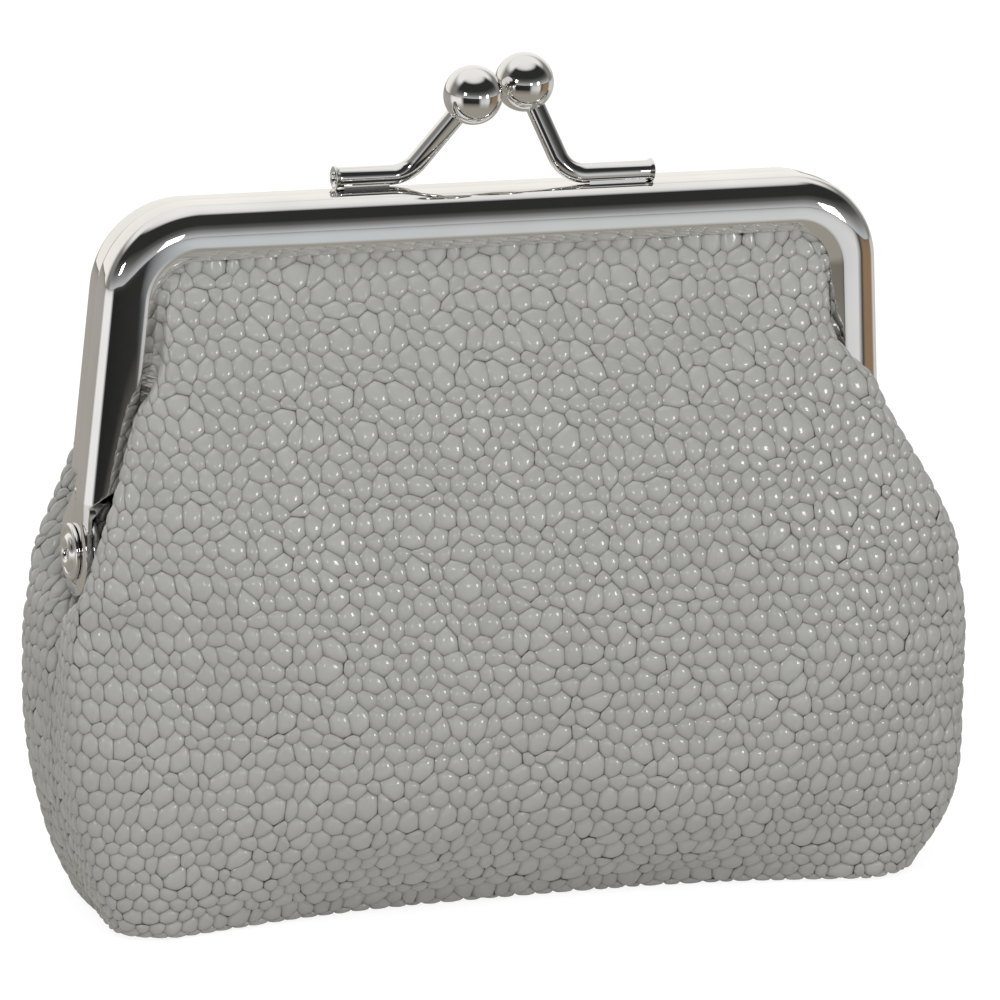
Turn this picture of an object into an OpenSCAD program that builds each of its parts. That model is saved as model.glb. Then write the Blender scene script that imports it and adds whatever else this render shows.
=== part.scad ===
// Kiss-clasp coin purse, standing closed on its boxed base.
// Millimetres. Z is up, the front of the purse faces -Y, and the origin is on the floor
// under the middle of the pouch. The two frame halves meet on the plane y = 0.

/* [Frame] */
// Width over the two hinge ears
frame_w = 85.6; // [80:0.1:92]
// Height of the hinge line above the floor
hinge_h = 38.2; // [36:0.1:44]
// Rise of the frame from the hinge line to its top
frame_rise = 35.5; // [33:0.1:39]
// Depth of one frame half, from the meeting plane to its face
half_depth = 4.6; // [4.4:0.05:5.4]
// Thickness of the frame's sheet metal
sheet_t = 0.8; // [0.6:0.05:0.9]
// Width of the face band, with its bevelled lip
face_w = 5.4; // [4.8:0.1:6.2]
// Width of the wall along the meeting plane
inner_wall_w = 4; // [3:0.1:4.4]
// Width of the bevel along the lip
lip_w = 1.1; // [0.6:0.05:1.6]
// How far the bevel drops below the face
lip_drop = 0.55; // [0.2:0.05:0.6]
// Outer radius of the two top corners
corner_r = 9.5; // [8.5:0.1:12]
// Radius of the rolled edge between face and top
face_edge_r = 1.2; // [0.9:0.05:1.6]
// Radius of the edge at the meeting plane
meet_edge_r = 0.5; // [0.2:0.05:0.7]
// Lean of the arms from upright, in degrees
arm_lean = 4.5; // [2:0.1:6]
// Half of the gap between the closed halves
meet_gap = 0.05; // [0.03:0.01:0.1]
// How much smaller the rear half is all round
rear_step = 0.3; // [0:0.05:0.4]

/* [Hinge] */
// Radius of the round ear about the rivet
ear_r = 4.5; // [4:0.05:5]
// Height of the ear's straight part above the hinge line
ear_h = 5.8; // [5.4:0.1:7]
// Height above the hinge line where the neck of the ear meets the meeting plane
neck_h = 6.7; // [6.2:0.1:7]
// Height above the hinge line where the inner walls end
wall_end_h = 8.6; // [8.2:0.1:10]
// Radius of the sweep that trims the face band down to the ear
trim_r = 9.15; // [8.5:0.05:10]
// Radius of the rivet's shaft
rivet_r = 1.25; // [1:0.05:1.5]
// Running clearance round the rivet's shaft
rivet_gap = 0.05; // [0.02:0.01:0.1]
// Radius of the rivet's hollow
rivet_hollow_r = 0.7; // [0.4:0.05:0.8]
// Radius of the rivet's outer head
rivet_head_r = 2.9; // [2.4:0.05:3.2]
// Thickness of the rivet's outer head
rivet_head_t = 0.55; // [0.4:0.05:0.7]
// Radius of the rivet's rolled inner end
rivet_flare_r = 1.9; // [1.6:0.05:2.2]
// Thickness of the rivet's rolled inner end
rivet_flare_t = 0.45; // [0.3:0.05:0.6]
// Radius of the hinge washer
washer_r = 2.4; // [2.1:0.05:2.8]
// Thickness of the hinge washer
washer_t = 0.5; // [0.3:0.05:0.6]

/* [Clasp] */
// Diameter of the clasp balls
ball_d = 5.95; // [5:0.05:6.1]
// Radius of the stem's tube
tube_r = 1; // [0.8:0.05:1.1]
// Bend radius of the stem, at the middle of its tube
bend_r = 3; // [2.4:0.1:4]
// Distance across the frame between the two ball centres
ball_pitch = 6.3; // [6.25:0.05:7]
// How far the middle of the clasp sits to the right of the frame's middle
clasp_shift = 0.55; // [0:0.05:1]
// Depth by which each ball has passed the meeting plane
ball_pass = 1.2; // [0.6:0.05:1.6]
// Height of the rear half's ball centre above the frame's top
rear_ball_h = 9.5; // [8.5:0.1:11]
// Height of the front half's ball centre above the frame's top
front_ball_h = 10.05; // [8.5:0.05:11]
// Distance of the rear half's stem foot behind the meeting plane
rear_foot_y = 2.7; // [2:0.1:3]
// Distance of the front half's stem foot in front of the meeting plane
front_foot_y = 1.5; // [1.3:0.1:3]
// Rise angle of the rear half's stem, in degrees
rear_rise = 61; // [50:1:75]
// Rise angle of the front half's stem, in degrees
front_rise = 68; // [50:1:75]
// Distance of a stem foot's open end from the middle of the clasp
foot_reach = 16.2; // [14:0.1:18]
// Height of the solder bed under a stem foot
solder_h = 0.4; // [0.2:0.05:0.6]

/* [Pouch] */
// Width of the pouch at its fullest
belly_w = 97.4; // [94:0.2:108]
// Height of the fullest width
belly_h = 26; // [22:0.5:30]
// Width of the pouch on the floor
base_w = 86; // [80:0.5:92]
// Depth of the pouch at its fullest
belly_d = 28; // [26:0.5:34]
// Height at which the pouch is deepest
belly_depth_h = 18; // [14:0.5:22]
// Depth of the pouch on the floor, at its corners
base_d = 22.8; // [20:0.2:26]
// How far the base draws in between its corners
base_waist = 6; // [0:0.2:7]
// Height at which that drawing in ends
waist_h = 16; // [10:0.5:18]
// How far the frame sits to the left of the pouch's middle, as the soft pouch leans
lean = 3.6; // [0:0.1:5]
// Thickness of the leather
leather_t = 1; // [0.8:0.05:1.2]
// Thickness of the lining
lining_t = 0.35; // [0.2:0.05:0.4]
// Radius of the paper cord packed in the frame
cord_r = 0.62; // [0.5:0.01:0.7]
// Width of the seam allowance inside the side seams
seam_w = 2; // [1.8:0.1:2.5]

/* [Hidden] */

nickel = [0.80, 0.80, 0.79];
leather_grey = [0.66, 0.66, 0.64];
lining_tan = [0.62, 0.50, 0.38];
kraft = [0.72, 0.60, 0.44];
tin = [0.68, 0.68, 0.66];

round_fn = 64;
edge_steps = 6;

// Outline of the frame: a straight top, two corners, leaning arms and upright ears
half_w = frame_w / 2;
top_z = hinge_h + frame_rise;
bend_z = hinge_h + ear_h;
corner_z = top_z - corner_r;
arm_top_z = corner_z + corner_r * sin(arm_lean);
arm_len = (arm_top_z - bend_z) / cos(arm_lean);
corner_x = half_w - corner_r * cos(arm_lean) - arm_len * sin(arm_lean);

// Layers at the hinge, counted inwards from the outer face of the front half's ear
layer_gap = 0.05;
rear_ear_in = sheet_t + layer_gap;
washer_in = rear_ear_in + sheet_t + layer_gap;
flare_in = washer_in + washer_t + layer_gap;
stack_in = flare_in + rivet_flare_t;
web_z = hinge_h + neck_h + 0.5;

// Clasp: clearance under a stem foot, and the socket that the stem is pressed into
foot_gap = 0.06;
ball_socket = 1;
socket_gap = 0.03;

// Contents of the channel, as depths from the meeting plane
leather_gap = 0.05;
lining_gap = 0.12;
groove_y = half_depth - sheet_t - leather_gap;
cord_y = groove_y - leather_t - lining_gap - lining_t - 0.08 - cord_r;
cord_in = sheet_t + 0.15 + cord_r;
edge_in = sheet_t + 0.5;
swell = 0.01;
lip_clear = 0.3;
front_clear = max(ear_r, half_depth) + lip_clear;
end_x = half_w - stack_in - 1;

// Pouch shape
seam_gap = 0.03;
mouth_in = face_w + rear_step + lip_clear;
mouth_z = top_z - mouth_in;
mouth_half = half_w - face_w - 1.1;
seam_top = -ear_r - 0.5;
hem_low = -ear_r + 0.7;
hem_high = 4;
groove_low = wall_end_h - 0.7;
puff_top = mouth_z - 9.5;
puff_run = 4;
tip_share = 0.42;
floor_power = 4;
belly_power = 3;
turn_angles = [60, 30, 0];
front_angles = [12, 24, 37, 52, 70];

// Half-width of the frame's outline at height z, inset from its outer edge
function arch_half(z, inset) =
    let (r = corner_r - inset)
    z > corner_z + r * sin(arm_lean)
        ? corner_x + sqrt(max(0, r * r - pow(z - corner_z, 2)))
        : z > bend_z
            ? half_w - (z - bend_z) * tan(arm_lean) - inset / cos(arm_lean)
            : half_w - inset;

// Points of an arc about c, from angle a to angle b
function arc(c, r, a, b) =
    [for (i = [0 : edge_steps]) c + r * [cos(a + (b - a) * i / edge_steps), sin(a + (b - a) * i / edge_steps)]];

// Share of the lean that the pouch has taken up at height z
function lean_at(z) = lean * min(1, max(0, (mouth_z - 4 - z) / (mouth_z - 4 - belly_h)));

// Half-width of the pouch at height z
function width_at(z) =
    z < belly_h
        ? belly_w / 2 - (belly_w - base_w) / 2 * pow(1 - z / belly_h, 3.5)
        : belly_w / 2 - (belly_w / 2 - mouth_half)
            * (1 - cos(180 * min(1, (z - belly_h) / (mouth_z - belly_h)))) / 2;

// Half-depth of the pouch at height z
function depth_at(z) =
    z < belly_depth_h
        ? belly_d / 2 - (belly_d - base_d) / 2 * pow(1 - z / belly_depth_h, 2)
        : belly_d / 2 - (belly_d / 2 - groove_y) * pow((z - belly_depth_h) / (mouth_z - belly_depth_h), 2.2);

// Squareness of the pouch's plan at height z
function power_at(z) = floor_power - (floor_power - belly_power) * min(1, z / waist_h);

// How much of its puff over the frame's face the leather has at height z, from 0 to 1
function puff_at(z) = min(1, max(0, (puff_top - z) / puff_run));

// Direction at height z in which the leather's free edge is thick: 0 back, 90 inwards, 180 forwards
function hem_turn(z) = lookup(z - hinge_h, [
    [seam_top, 180], [hem_low, 135], [-1, 90], [hem_high, 60], [groove_low - 1.6, 20], [groove_low, 0]
]);

// Half-width on one side at which the leather leaves the frame or the side seam
function mouth_x(z, side) =
    let (h = z - hinge_h, seam = (seam_top - h) / 9, shallow = width_at(z) + side * lean_at(z) - 0.4)
    h > groove_low
        ? arch_half(z, mouth_in)
        : seam > 0
            ? (half_w - sheet_t) * (1 - min(1, seam)) + shallow * min(1, seam)
            : lookup(h, [
                [seam_top, half_w - sheet_t], [hem_low, end_x], [hem_high, end_x],
                [hem_high + 1.1, end_x - 0.4], [groove_low - 1.6, half_w - face_w + 0.4],
                [groove_low, arch_half(hinge_h + groove_low, mouth_in)]
            ]);

// Depth at which the leather starts to turn outwards, and the depth of the hem behind it
function turn_y(z) =
    z - hinge_h > groove_low
        ? groove_y + max(0.1 * (depth_at(z) - groove_y), (front_clear - groove_y) * min(1, 6 * puff_at(z)))
        : lookup(z - hinge_h, [
            [seam_top, seam_gap], [hem_low, 2.9], [-ear_r / 2, front_clear - 0.4], [0, front_clear]
        ]);
function hem_y(z) = lookup(z - hinge_h, [
    [seam_top, seam_gap], [hem_low, 2.4], [0, groove_y + 0.5], [hem_high, groove_y + 0.5],
    [groove_low - 1.6, groove_y]
]);

// The edge of the leather, inside the channel or inside the side seam
function edge_x(z, side) =
    let (h = z - hinge_h)
    h > wall_end_h + 0.4
        ? arch_half(z, edge_in)
        : h < seam_top
            ? mouth_x(z, side) - seam_w
            : lookup(h, [
                [seam_top, half_w - sheet_t - seam_w], [hem_low, end_x - 1.1], [hem_high, end_x - 0.9],
                [hem_high + 1.1, end_x - 0.4], [groove_low - 1.6, end_x + 0.5],
                [wall_end_h + 0.4, arch_half(hinge_h + wall_end_h, edge_in + 0.4)]
            ]);
function edge_y(z) = lookup(z - hinge_h, [[seam_top, seam_gap], [hem_low, 1.8], [0, groove_y]]);

// One side of the sheet's plan at height z, inset by t, from its edge to near the middle
function side_path(z, side, t) =
    let (
        b = hem_turn(z),
        back = b < 90 ? 1 : sin(b),
        lean_x = side * lean_at(z),
        mouth = mouth_x(z, side),
        puff = puff_at(z),
        full = max(mouth, mouth + (width_at(z) + lean_x - mouth) * puff) - t,
        x0 = min(mouth - back * t, full),
        y0 = turn_y(z) + (2 * puff - 1) * t,
        depth = depth_at(z) - t,
        tip_y = y0 + tip_share * (depth - y0),
        e = 2 / power_at(z),
        waist = base_waist * pow(max(0, 1 - z / waist_h), 2)
    )
    concat(
        [[edge_x(z, side) - sin(b) * t, edge_y(z) - cos(b) * t]],
        [[x0 - lookup(z - hinge_h, [[hem_high, 0.3], [groove_low - 1.6, 0]]), hem_y(z) - cos(b) * t]],
        [[x0, y0]],
        [for (a = turn_angles) [x0 + (full - x0) * cos(a), tip_y - (tip_y - y0) * sin(a)]],
        [for (q = front_angles)
            let (across = pow(cos(q), e), drawn = waist * max(0, 1 - pow(1.13 * across, 3)))
            [lean_x + (full - lean_x) * across, tip_y + (depth - drawn - tip_y) * pow(sin(q), e)]]
    );

// The same for the flat part of the sheet inside the channel
function flat_path(z, t) =
    let (n = len(turn_angles) + len(front_angles) + 3)
    [for (i = [0 : n - 1]) [arch_half(z, edge_in) * (1 - i / n), groove_y - t]];

// The whole path of the sheet's plan, from its right edge to its left edge
function plan_path(z, t) =
    let (
        flat = z > mouth_z - 0.1,
        right = flat ? flat_path(z, t) : side_path(z, 1, t),
        left = flat ? flat_path(z, t) : side_path(z, -1, t),
        last = len(right) - 1,
        middle = flat ? groove_y - t : depth_at(z) - t - base_waist * pow(max(0, 1 - z / waist_h), 2)
    )
    concat(
        [for (p = right) [p[0], -p[1]]],
        [[flat ? 0 : lean_at(z), -middle]],
        [for (i = [last : -1 : 0]) [-left[i][0], -left[i][1]]]
    );

// The bottom seam, with one point for each point of the path
function seam_path(path) =
    let (last = len(path) - 1, right = path[0][0] - 0.4, left = path[last][0] + 0.4)
    [for (i = [0 : last]) [right + (left - right) * i / last, -seam_gap / 3]];

// One ring of a panel: outer path, then inner path backwards
function panel_ring(z, inset, thick, closed) =
    let (
        outer = plan_path(z, inset),
        inner = closed ? seam_path(outer) : plan_path(z, inset + thick),
        last = len(outer) - 1
    )
    [for (i = [0 : 2 * last + 1])
        let (p = i <= last ? outer[i] : inner[2 * last + 1 - i])
        [p[0], p[1], z]];

// Heights of a panel's rings: two close the base, and the rest rise to the channel
function panel_heights(base, thick) = concat(
    [base, base + thick - 0.04, base + thick],
    [for (t = [0.15, 0.32, 0.55, 0.78, 1]) belly_h * t],
    [hinge_h + seam_top - 2.5],
    [for (h = [seam_top, hem_low, -1.5, 1.5, hem_high, hem_high + 1.1]) hinge_h + h],
    [for (h = [groove_low - 1.6, groove_low, wall_end_h + 0.4]) hinge_h + h],
    [for (t = [1.75, 0.9, 0.4, 0.1]) puff_top - puff_run * t],
    [for (t = [0, 0.33, 0.66, 0.93]) puff_top + 0.5 + (mouth_z - puff_top - 0.5) * t],
    [for (t = [0, 0.45, 0.8, 0.97]) mouth_z + (top_z - edge_in - mouth_z) * t]
);

// A sheet that follows the front half of the pouch, inset from its outside
module pouch_sheet(inset, thick) {
    heights = panel_heights(inset, thick);
    rings = [for (k = [0 : len(heights) - 1]) panel_ring(heights[k], inset, thick, k < 2)];
    n = len(rings[0]);
    m = len(rings);
    points = [for (ring = rings) for (p = ring) p];
    sides = [
        for (k = [0 : m - 2]) for (i = [0 : n - 1])
            let (a = k * n + i, b = k * n + (i + 1) % n, c = a + n, d = b + n)
            each i < n / 2 ? [[a, b, d], [a, d, c]] : [[a, b, c], [b, d, c]]
    ];
    caps = [
        for (i = [0 : n / 2 - 2])
            let (a = i, b = i + 1, c = n - 2 - i, d = n - 1 - i, up = (m - 1) * n)
            each [[c, b, a], [d, c, a], [a, b, c] + up * [1, 1, 1], [a, c, d] + up * [1, 1, 1]]
    ];
    polyhedron(points = points, faces = concat(sides, caps), convexity = 8);
}

// Moves what is drawn about the frame's middle to where the frame stands
module at_frame() {
    translate([-lean, 0, 0]) children();
}

// Turns what is drawn for the front into its rear counterpart
module to_rear() {
    mirror([0, 1, 0]) children();
}

// Cross-section of a frame half's channel: inwards from the outer edge, out from the meeting plane
module channel_profile(band, fuller = 0) {
    d = half_depth;
    g = fuller;
    face_arc = [face_edge_r, d - face_edge_r];
    polygon(concat(
        [[sheet_t + g, meet_gap - g]],
        arc([meet_edge_r, meet_gap + meet_edge_r], meet_edge_r + g, 270, 180),
        arc(face_arc, face_edge_r + g, 180, 90),
        [[band - lip_w, d + g], [band + g, d - lip_drop], [band + g, d - sheet_t - g]],
        arc(face_arc, face_edge_r - sheet_t - g, 90, 180)
    ));
}

// Cross-section of the wall that closes the channel along the meeting plane
module wall_profile(fuller = 0) {
    g = fuller;
    translate([sheet_t / 2, meet_gap + 2 * swell - g])
        square([inner_wall_w - sheet_t / 2 + g, sheet_t + 2 * g]);
}

// Draws a flat profile along one straight arm on the right, between two heights
module arm_run(low, high) {
    translate([half_w, 0, bend_z]) rotate([0, -arm_lean, 0]) rotate([0, 0, 180])
        translate([0, 0, (low - bend_z) / cos(arm_lean)])
            linear_extrude((high - low) / cos(arm_lean)) children();
}

// Sweeps a profile over the top and down both arms to a height, and a fuller one round the corners
module arch_sweep(low) {
    lap = 1.5;
    translate([corner_x, 0, top_z])
        rotate([0, 0, 180]) rotate([0, 90, 0]) linear_extrude(2 * corner_x) children(0);
    for (side = [0, 1]) mirror([side, 0, 0]) {
        translate([corner_x, 0, corner_z])
            rotate([90, 0, 0]) rotate([0, 0, arm_lean - lap])
                rotate_extrude(angle = 90 - arm_lean + 2 * lap, $fn = 2 * round_fn)
                    translate([corner_r, 0]) mirror([1, 0]) children(1);
        arm_run(low, arm_top_z) children(0);
    }
}

// The sweep that trims the face band down to the ear, kept off the ear's own layer
module face_trim(inset) {
    intersection() {
        translate([half_w - trim_r + 0.55, 0, hinge_h - 0.6])
            rotate([90, 0, 0]) cylinder(r = trim_r, h = 4 * half_depth, center = true, $fn = 2 * round_fn);
        translate([0, -2 * half_depth, 0])
            cube([half_w - inset - sheet_t - 2 * swell, 4 * half_depth, top_z]);
    }
}

// The round lobe of an ear and its neck, in one layer of the hinge
module ear_lobe(inset) {
    touch = acos(ear_r / neck_h);
    neck_r = ear_r - 5 * swell;
    translate([half_w - inset - sheet_t, 0, hinge_h]) rotate([90, 0, 90]) linear_extrude(sheet_t) {
        circle(ear_r, $fn = round_fn);
        polygon([
            [-meet_gap, 0],
            [neck_r * sin(touch), neck_r * cos(touch)],
            [-meet_gap, neck_h]
        ]);
    }
}

module rivet_hole() {
    translate([0, 0, hinge_h]) rotate([0, 90, 0])
        cylinder(r = rivet_r + rivet_gap, h = frame_w + 1, center = true, $fn = round_fn);
}

module front_frame() color(nickel) at_frame() {
    lap = 0.6;
    difference() {
        union() {
            arch_sweep(bend_z - lap) {
                channel_profile(face_w);
                channel_profile(face_w, swell);
            }
            arch_sweep(hinge_h + wall_end_h) {
                wall_profile();
                wall_profile(swell);
            }
            for (side = [0, 1]) mirror([side, 0, 0]) {
                translate([half_w, 0, hinge_h]) rotate([0, 0, 180])
                    linear_extrude(ear_h + lap) channel_profile(face_w);
                ear_lobe(0);
            }
        }
        for (side = [0, 1]) mirror([side, 0, 0]) face_trim(0);
        rivet_hole();
    }
}

// The web that steps the rear half's ear inside the front half's ear
module ear_web() {
    less = 2 * swell;
    shift = [rear_step, 0];
    translate([half_w, 0, web_z]) rotate([0, 0, 180]) linear_extrude(sheet_t)
        polygon(concat(
            [[rear_ear_in + sheet_t - less, meet_gap + less]],
            arc(shift + [meet_edge_r, meet_gap + meet_edge_r], meet_edge_r - less, 270, 180),
            arc(shift + [face_edge_r, half_depth - face_edge_r], face_edge_r - less, 180, 90),
            [[rear_ear_in + sheet_t - less, half_depth - less]]
        ));
}

module rear_frame() color(nickel) at_frame() to_rear() {
    inner_band = face_w - rear_ear_in + rear_step;
    difference() {
        union() {
            arch_sweep(web_z + sheet_t / 4) {
                translate([rear_step, 0]) channel_profile(face_w);
                translate([rear_step, 0]) channel_profile(face_w, swell);
            }
            arch_sweep(hinge_h + wall_end_h) {
                translate([rear_step, 0]) wall_profile();
                translate([rear_step, 0]) wall_profile(swell);
            }
            for (side = [0, 1]) mirror([side, 0, 0]) {
                translate([half_w, 0, hinge_h]) rotate([0, 0, 180])
                    linear_extrude(web_z - hinge_h + sheet_t / 2)
                        translate([rear_ear_in, 0]) channel_profile(inner_band);
                ear_web();
                ear_lobe(rear_ear_in);
            }
        }
        for (side = [0, 1]) mirror([side, 0, 0]) face_trim(rear_ear_in);
        rivet_hole();
    }
}

// A round bar bent about the origin between two angles, a touch fuller than the straights it joins
module bent_round(bend, bar, from, to) {
    lap = 1.5;
    rotate([0, 0, from - lap])
        rotate_extrude(angle = to - from + 2 * lap, $fn = 2 * round_fn)
            translate([bend, 0]) circle(bar + swell, $fn = round_fn);
}

// A turned part on the hinge line, drawn as radius and distance out from the ear's face
module on_hinge(side) {
    at_frame() mirror([side < 0 ? 1 : 0, 0, 0])
        translate([half_w, 0, hinge_h]) rotate([0, 90, 0]) rotate_extrude($fn = round_fn) children();
}

// Tubular rivet: a broad head outside, rolled over inside the washer
module hinge_rivet(side) color(nickel) on_hinge(side) {
    head_low = 0.04;
    rim = 0.15;
    polygon([
        [rivet_hollow_r, -stack_in],
        [rivet_flare_r - rim, -stack_in],
        [rivet_flare_r, rim - stack_in],
        [rivet_flare_r, -flare_in],
        [rivet_r, -flare_in],
        [rivet_r, head_low],
        [rivet_head_r - rim, head_low],
        [rivet_head_r, head_low + rim],
        [rivet_head_r, rivet_head_t - rim],
        [rivet_head_r - rim, rivet_head_t],
        [rivet_r + 0.55, rivet_head_t],
        [rivet_r + 0.25, rivet_head_t + 0.3],
        [rivet_r - 0.2, rivet_head_t + 0.3],
        [rivet_hollow_r, rivet_head_t]
    ]);
}

module hinge_washer(side) color(nickel) on_hinge(side) {
    translate([rivet_r + rivet_gap, -washer_in - washer_t])
        square([washer_r - rivet_r - rivet_gap, washer_t]);
}

// Where one clasp stands: 1 is the front half's, on the right, and -1 the rear half's
function clasp_top(half) = half > 0 ? top_z : top_z - rear_step;
function foot_z(half) = clasp_top(half) + tube_r + foot_gap;
function foot_y(half) = half > 0 ? -front_foot_y : rear_foot_y;
function ball_at(half) = [
    clasp_shift + half * ball_pitch / 2,
    half * ball_pass,
    top_z + (half > 0 ? front_ball_h : rear_ball_h)
];
function rise_of(half) = half > 0 ? front_rise : rear_rise;
function lean_of(half) = atan2(ball_at(half)[1] - foot_y(half), ball_at(half)[2] - foot_z(half));
function climb_of(half) = norm([ball_at(half)[1] - foot_y(half), ball_at(half)[2] - foot_z(half)]);

// How far the bend starts outside the ball's middle, and the straight rise after it
function rise_len(half) = (climb_of(half) - bend_r * (1 - cos(rise_of(half)))) / sin(rise_of(half));
function bend_out(half) = bend_r * sin(rise_of(half)) + rise_len(half) * cos(rise_of(half));

// Draws from the start of a stem's bend, foot outwards and rise inwards
module at_stem(half) {
    at_frame()
        translate([ball_at(half)[0] + half * bend_out(half), foot_y(half), foot_z(half)])
            mirror([half > 0 ? 0 : 1, 0, 0]) rotate([-lean_of(half), 0, 0]) children();
}

// Bent tube: a foot with a flared open end, one bend and a straight rise into the ball
module clasp_stem(half) color(nickel) at_stem(half) {
    rise = rise_of(half);
    foot_len = foot_reach - ball_pitch / 2 - bend_out(half);
    flare = 0.35;
    bore_r = 0.62 * tube_r;
    rotate([0, 90, 0]) difference() {
        union() {
            cylinder(r = tube_r, h = foot_len, $fn = round_fn);
            translate([0, 0, foot_len - flare])
                cylinder(r1 = tube_r, r2 = tube_r + 0.22, h = flare, $fn = round_fn);
        }
        translate([0, 0, foot_len - 4 * tube_r]) cylinder(r = bore_r, h = 5 * tube_r, $fn = round_fn);
        translate([0, 0, foot_len - flare])
            cylinder(r1 = bore_r, r2 = bore_r + 0.3, h = flare + 0.01, $fn = round_fn);
    }
    translate([0, 0, bend_r]) rotate([90, 0, 0]) bent_round(bend_r, tube_r, -90 - rise, -90);
    translate([-bend_r * sin(rise), 0, bend_r * (1 - cos(rise))]) rotate([0, rise - 90, 0])
        cylinder(r = tube_r, h = rise_len(half) - ball_d / 2 + ball_socket, $fn = round_fn);
}

// Ball, with the socket that the stem is pressed into
module clasp_ball(half) color(nickel) {
    rise = rise_of(half);
    difference() {
        at_frame() translate(ball_at(half)) sphere(ball_d / 2, $fn = 2 * round_fn);
        at_stem(half)
            translate([-bend_r * sin(rise), 0, bend_r * (1 - cos(rise))]) rotate([0, rise - 90, 0])
                translate([0, 0, rise_len(half) - ball_d])
                    cylinder(r = tube_r + socket_gap, h = ball_d / 2 + ball_socket + socket_gap, $fn = round_fn);
    }
}

// Solder bed that fills the wedges between a stem foot and the frame
module clasp_solder(half) color(tin) {
    foot_len = foot_reach - ball_pitch / 2 - bend_out(half);
    bed_half = sqrt(pow(tube_r, 2) - pow(tube_r + foot_gap - solder_h, 2)) + 0.05;
    at_frame() translate([ball_at(half)[0] + half * bend_out(half), foot_y(half), clasp_top(half)])
        mirror([half > 0 ? 0 : 1, 0, 0]) rotate([90, 0, 90])
            translate([0, 0, 0.3]) linear_extrude(foot_len - 1.2)
                difference() {
                    translate([-bed_half, 0]) square([2 * bed_half, solder_h]);
                    translate([0, tube_r + foot_gap]) circle(tube_r, $fn = round_fn);
                }
}

// Twisted paper cord that packs the leather into the channel, held along its whole length
module paper_cord(step) {
    inset = cord_in + step;
    low = hinge_h + wall_end_h + 0.4;
    translate([0, cord_y, top_z - inset]) rotate([0, 90, 0])
        cylinder(r = cord_r, h = 2 * corner_x, center = true, $fn = round_fn);
    for (side = [0, 1]) mirror([side, 0, 0]) {
        translate([corner_x, cord_y, corner_z]) rotate([90, 0, 0])
            bent_round(corner_r - inset, cord_r, arm_lean, 90);
        translate([half_w, cord_y, bend_z]) rotate([0, -arm_lean, 0])
            translate([-inset, 0, (low - bend_z) / cos(arm_lean)])
                cylinder(r = cord_r, h = (arm_top_z - low) / cos(arm_lean), $fn = round_fn);
    }
}

module front_panel() color(leather_grey) at_frame() pouch_sheet(0, leather_t);
module rear_panel() color(leather_grey) at_frame() to_rear() pouch_sheet(0, leather_t);
module front_lining() color(lining_tan) at_frame() pouch_sheet(leather_t + lining_gap, lining_t);
module rear_lining() color(lining_tan) at_frame() to_rear() pouch_sheet(leather_t + lining_gap, lining_t);
module front_paper_cord() color(kraft) at_frame() to_rear() paper_cord(0);
module rear_paper_cord() color(kraft) at_frame() paper_cord(rear_step);

front_frame();
rear_frame();
hinge_rivet(-1);  // hinge_rivet_left
hinge_rivet(1);  // hinge_rivet_right
hinge_washer(-1);  // hinge_washer_left
hinge_washer(1);  // hinge_washer_right
clasp_stem(1);  // front_clasp_stem
clasp_ball(1);  // front_clasp_ball
clasp_solder(1);  // front_clasp_solder
clasp_stem(-1);  // rear_clasp_stem
clasp_ball(-1);  // rear_clasp_ball
clasp_solder(-1);  // rear_clasp_solder
front_panel();
rear_panel();
front_lining();
rear_lining();
front_paper_cord();
rear_paper_cord();
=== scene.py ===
"""Looks of the squeeze coin purse: pearl-grained leather in a polished nickel frame."""

import math

import bpy
import numpy as np
from mathutils import Matrix, Vector


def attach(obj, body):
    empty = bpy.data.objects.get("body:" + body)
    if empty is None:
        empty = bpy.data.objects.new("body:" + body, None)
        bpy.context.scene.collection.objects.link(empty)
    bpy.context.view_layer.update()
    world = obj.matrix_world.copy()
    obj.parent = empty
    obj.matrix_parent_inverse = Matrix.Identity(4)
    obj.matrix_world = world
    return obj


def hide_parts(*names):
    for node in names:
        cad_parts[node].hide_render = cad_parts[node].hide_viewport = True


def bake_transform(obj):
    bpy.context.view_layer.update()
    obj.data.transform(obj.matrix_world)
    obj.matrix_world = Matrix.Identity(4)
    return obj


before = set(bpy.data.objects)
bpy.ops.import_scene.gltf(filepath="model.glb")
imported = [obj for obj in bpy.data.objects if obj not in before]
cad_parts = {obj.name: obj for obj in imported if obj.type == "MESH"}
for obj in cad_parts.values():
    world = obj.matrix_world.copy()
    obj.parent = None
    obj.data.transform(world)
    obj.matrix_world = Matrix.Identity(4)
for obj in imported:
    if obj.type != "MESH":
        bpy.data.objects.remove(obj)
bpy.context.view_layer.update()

scene = bpy.context.scene

# ---------------------------------------------------------------- camera
# The viewpoint of the picture: from the left and a little above, through a long lens. The angles,
# the distance and the lens were fitted to the frame's corners, the balls, a rivet and the base.
MM = 0.001
TURN, TILT, ROLL = math.radians(-20.656), math.radians(15.402), math.radians(2.132)
LOOK_AT, DISTANCE = Vector((-3.6, 0, 45)), 709.32
PICTURE_PX, FOCAL_PX, SENSOR = 1000, 7012.5, 36
forward = Vector((-math.sin(TURN) * math.cos(TILT), math.cos(TURN) * math.cos(TILT), -math.sin(TILT)))
level = Vector((math.cos(TURN), math.sin(TURN), 0))
upward = level.cross(forward)
right = math.cos(ROLL) * level + math.sin(ROLL) * upward
over = -math.sin(ROLL) * level + math.cos(ROLL) * upward
eye = LOOK_AT * MM - forward * DISTANCE * MM
lens = bpy.data.cameras.new("picture_camera")
lens.sensor_width = SENSOR
lens.lens = FOCAL_PX / PICTURE_PX * SENSOR
lens.shift_x, lens.shift_y = 0.02035, -0.03948
camera = bpy.data.objects.new("picture_camera", lens)
scene.collection.objects.link(camera)
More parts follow.
